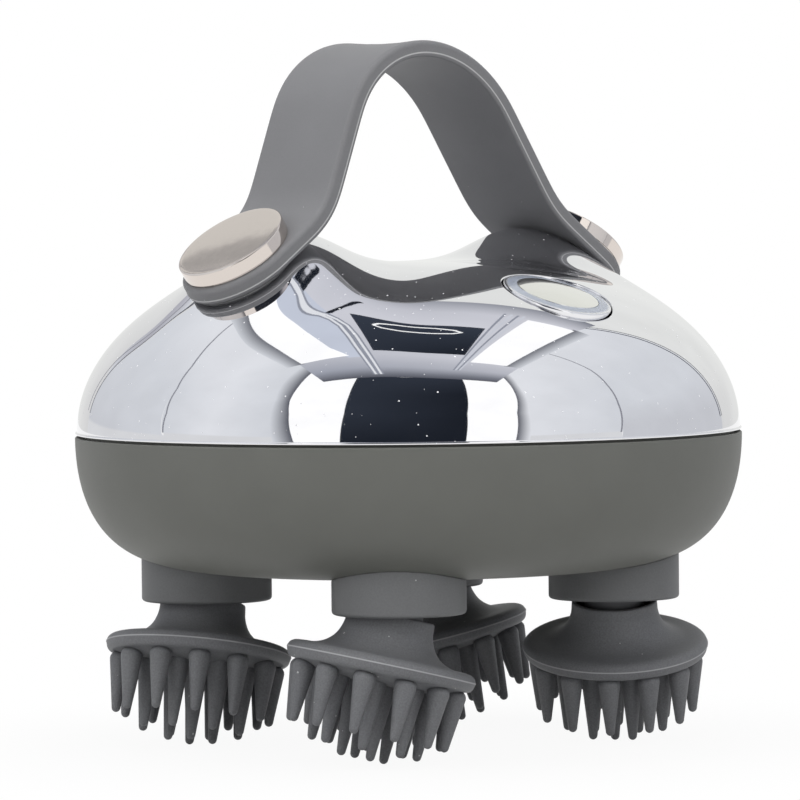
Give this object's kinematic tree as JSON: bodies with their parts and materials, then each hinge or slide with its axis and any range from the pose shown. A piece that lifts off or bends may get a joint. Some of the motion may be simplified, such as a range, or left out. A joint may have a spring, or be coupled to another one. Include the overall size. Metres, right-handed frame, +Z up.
{
  "type": "electric scalp massager",
  "caption": "Cordless scalp massager: a round chrome and grey body with a looped hand strap, a power button and tilted silicone claw heads under it.",
  "frame": {"origin": "on the plane that the lowest prong tips stand on, on the axis of the round body", "axes": "+Z up along the body axis, X along the strap from the left cap to the right cap, the power button faces -Y and the charging port faces +Y"},
  "size_m": [0.12, 0.12, 0.1264],
  "materials": {
    "chrome_shell": "mirror chrome plating on moulded ABS",
    "grey_shell": "soft-touch matte coating",
    "strap_silicone": "matte silicone",
    "boot_silicone": "matte silicone",
    "claw_silicone": "matte silicone",
    "nickel": "polished nickel plating",
    "touch_metal": "satin chrome plating",
    "light_diffuser": "translucent moulded polycarbonate",
    "black_rubber": "matte",
    "black_plastic": "moulded",
    "white_plastic": "moulded acetal",
    "steel": "machined",
    "bronze": "sintered bronze",
    "circuit_board": "solder mask",
    "cell_wrap": "shrink film"
  },
  "bodies": {
    "body": {"upper_housing": "chrome_shell", "lower_housing": "grey_shell", "seam_seal": "black_rubber", "strap": "strap_silicone", "strap_cap_left": "nickel", "strap_cap_right": "nickel", "strap_washer_left": "boot_silicone", "strap_washer_right": "boot_silicone", "strap_screws": "steel", "button_gasket": "black_rubber", "switch_board": "circuit_board", "tact_switch": "black_plastic", "main_board": "circuit_board", "charge_board": "circuit_board", "usb_socket": "steel", "battery": "cell_wrap", "battery_cradle": "white_plastic", "gear_plate": "white_plastic", "gearbox": "steel", "motor": "steel", "motor_screws": "steel", "board_screws": "steel", "housing_screws": "steel", "idler_pins": "steel", "bush_front": "bronze", "bush_left": "bronze", "bush_right": "bronze", "bush_rear": "bronze", "boot_front": "boot_silicone", "boot_left": "boot_silicone", "boot_right": "boot_silicone", "boot_rear": "boot_silicone"},
    "drive": {"drive_shaft": "steel", "sun_gear": "white_plastic"},
    "idler_left": {"idler_gear_left": "white_plastic"},
    "idler_right": {"idler_gear_right": "white_plastic"},
    "output_front": {"output_gear_front": "white_plastic"},
    "head_front": {"swing_shaft_front": "steel", "shaft_clip_front": "steel", "head_core_front": "black_plastic", "claw_front": "claw_silicone"},
    "output_left": {"output_gear_left": "white_plastic"},
    "head_left": {"swing_shaft_left": "steel", "shaft_clip_left": "steel", "head_core_left": "black_plastic", "claw_left": "claw_silicone"},
    "output_right": {"output_gear_right": "white_plastic"},
    "head_right": {"swing_shaft_right": "steel", "shaft_clip_right": "steel", "head_core_right": "black_plastic", "claw_right": "claw_silicone"},
    "output_rear": {"output_gear_rear": "white_plastic"},
    "head_rear": {"swing_shaft_rear": "steel", "shaft_clip_rear": "steel", "head_core_rear": "black_plastic", "claw_rear": "claw_silicone"},
    "button": {"button_disc": "touch_metal", "light_ring": "light_diffuser"},
    "plug": {"port_plug": "boot_silicone"}
  },
  "joints": [
    {"name": "drive_spin", "type": "hinge", "parent": "body", "child": "drive", "pos_m": [0, 0, 0.05638], "axis": [0, 0, 1], "continuous": true},
    {"name": "idler_left_spin", "type": "hinge", "parent": "body", "child": "idler_left", "pos_m": [-0.02902, 0.00369, 0.05638], "axis": [0, 0, 1], "continuous": true},
    {"name": "idler_right_spin", "type": "hinge", "parent": "body", "child": "idler_right", "pos_m": [0.02902, -0.00369, 0.05638], "axis": [0, 0, 1], "continuous": true},
    {"name": "output_front_spin", "type": "hinge", "parent": "body", "child": "output_front", "pos_m": [-0.02599, -0.02599, 0.05638], "axis": [0, 0, 1], "continuous": true},
    {"name": "head_front_swing", "type": "hinge", "parent": "output_front", "child": "head_front", "pos_m": [-0.02599, -0.02599, 0.03178], "axis": [0.222, -0.0721, 0.9724], "continuous": true},
    {"name": "output_left_spin", "type": "hinge", "parent": "body", "child": "output_left", "pos_m": [-0.02599, 0.02599, 0.05638], "axis": [0, 0, 1], "continuous": true},
    {"name": "head_left_swing", "type": "hinge", "parent": "output_left", "child": "head_left", "pos_m": [-0.02599, 0.02599, 0.03178], "axis": [0.2149, 0.0912, 0.9724], "continuous": true},
    {"name": "output_right_spin", "type": "hinge", "parent": "body", "child": "output_right", "pos_m": [0.02599, -0.02599, 0.05638], "axis": [0, 0, 1], "continuous": true},
    {"name": "head_right_swing", "type": "hinge", "parent": "output_right", "child": "head_right", "pos_m": [0.02599, -0.02599, 0.03178], "axis": [-0.1707, -0.1592, 0.9724], "continuous": true},
    {"name": "output_rear_spin", "type": "hinge", "parent": "body", "child": "output_rear", "pos_m": [0.02599, 0.02599, 0.05638], "axis": [0, 0, 1], "continuous": true},
    {"name": "head_rear_swing", "type": "hinge", "parent": "output_rear", "child": "head_rear", "pos_m": [0.02599, 0.02599, 0.03178], "axis": [-0.184, 0.1437, 0.9724], "continuous": true},
    {"name": "button_press", "type": "slide", "parent": "body", "child": "button", "axis": [0, 0.3823, -0.9241], "range_m": [0, 0.0005], "stiffness_N_per_m": 600},
    {"name": "plug_pull", "type": "slide", "parent": "body", "child": "plug", "axis": [0, 1, 0], "range_m": [0, 0.012]}
  ],
  "couplings": [
    {"joint": "idler_left_spin", "follows": "drive_spin", "ratio": -2.9},
    {"joint": "idler_right_spin", "follows": "drive_spin", "ratio": -2.9},
    {"joint": "output_front_spin", "follows": "drive_spin", "ratio": -1.45},
    {"joint": "head_front_swing", "follows": "drive_spin", "ratio": 1.45},
    {"joint": "output_left_spin", "follows": "drive_spin", "ratio": 1.45},
    {"joint": "head_left_swing", "follows": "drive_spin", "ratio": -1.45},
    {"joint": "output_right_spin", "follows": "drive_spin", "ratio": 1.45},
    {"joint": "head_right_swing", "follows": "drive_spin", "ratio": -1.45},
    {"joint": "output_rear_spin", "follows": "drive_spin", "ratio": -1.45},
    {"joint": "head_rear_swing", "follows": "drive_spin", "ratio": 1.45}
  ]
}
